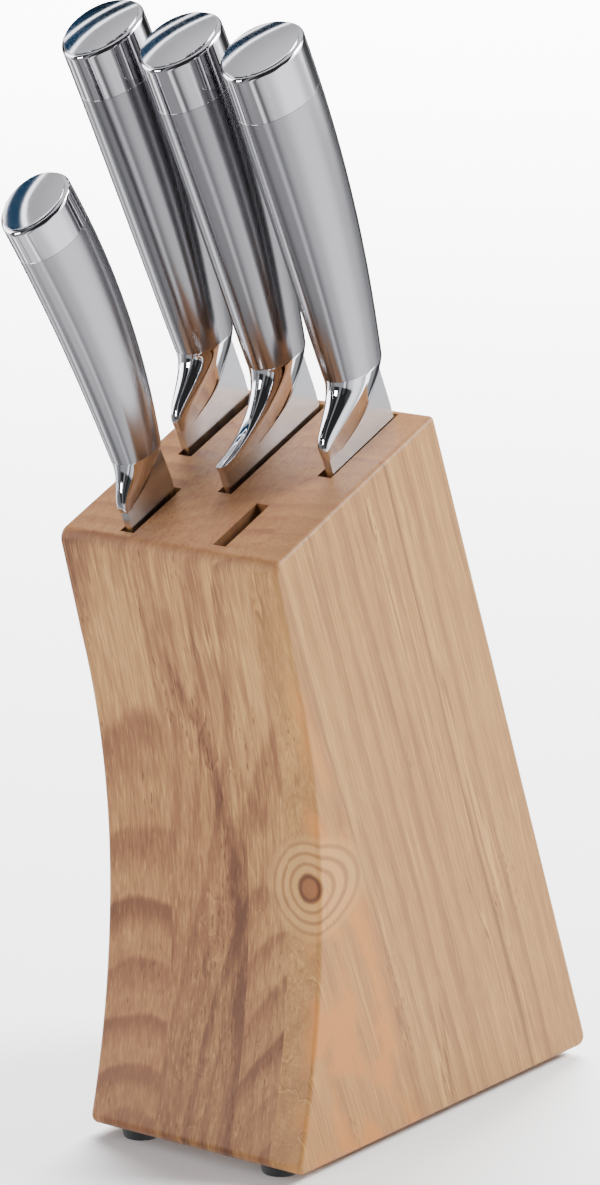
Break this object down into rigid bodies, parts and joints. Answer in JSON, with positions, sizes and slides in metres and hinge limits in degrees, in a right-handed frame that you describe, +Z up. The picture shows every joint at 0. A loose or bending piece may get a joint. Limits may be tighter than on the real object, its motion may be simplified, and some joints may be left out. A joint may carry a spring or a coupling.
{
  "type": "knife block with knives",
  "caption": "Leaning laminated wood knife block with a hollowed front, hollow steel-handled knives in angled slots and one spare slot.",
  "frame": {"origin": "on the surface the block stands on, under the middle of its bottom", "axes": "+Z up, the hollowed front faces -Y, +X to the right seen from the front; the knives lean towards -Y"},
  "size_m": [0.08, 0.2112, 0.3462],
  "materials": {
    "wood": "satin oiled, straight grain",
    "foot_rubber": "matt black",
    "screw_steel": "zinc plated",
    "blade_steel": "fine satin, ground across",
    "bolster_steel": "mirror polished stainless steel",
    "handle_steel": "satin, brushed along the handle",
    "cap_steel": "mirror polished stainless steel"
  },
  "bodies": {
    "block": {"foot_back_left": "foot_rubber", "foot_back_right": "foot_rubber", "foot_front_left": "foot_rubber", "foot_front_right": "foot_rubber", "foot_screws": "screw_steel", "foot_washers": "screw_steel", "stave_centre_left": "wood", "stave_centre_right": "wood", "stave_left_inner": "wood", "stave_left_outer": "wood", "stave_right_inner": "wood", "stave_right_outer": "wood"},
    "bread_knife": {"blade_bread": "blade_steel", "bolster_bread": "bolster_steel", "end_cap_bread": "cap_steel", "grip_left_bread": "handle_steel", "grip_right_bread": "handle_steel"},
    "utility_knife": {"blade_utility": "blade_steel", "bolster_utility": "bolster_steel", "end_cap_utility": "cap_steel", "grip_left_utility": "handle_steel", "grip_right_utility": "handle_steel"},
    "chef_knife": {"blade_chef": "blade_steel", "bolster_chef": "bolster_steel", "end_cap_chef": "cap_steel", "grip_left_chef": "handle_steel", "grip_right_chef": "handle_steel"},
    "carving_knife": {"blade_carving": "blade_steel", "bolster_carving": "bolster_steel", "end_cap_carving": "cap_steel", "grip_left_carving": "handle_steel", "grip_right_carving": "handle_steel"}
  },
  "joints": [
    {"name": "bread_draw", "type": "slide", "parent": "block", "child": "bread_knife", "axis": [-0.0122, -0.373, 0.9278], "range_m": [0, 0.212]},
    {"name": "utility_draw", "type": "slide", "parent": "block", "child": "utility_knife", "axis": [0, -0.373, 0.9278], "range_m": [0, 0.139]},
    {"name": "chef_draw", "type": "slide", "parent": "block", "child": "chef_knife", "axis": [0, -0.373, 0.9278], "range_m": [0, 0.212]},
    {"name": "carving_draw", "type": "slide", "parent": "block", "child": "carving_knife", "axis": [0.0122, -0.373, 0.9278], "range_m": [0, 0.212]}
  ]
}
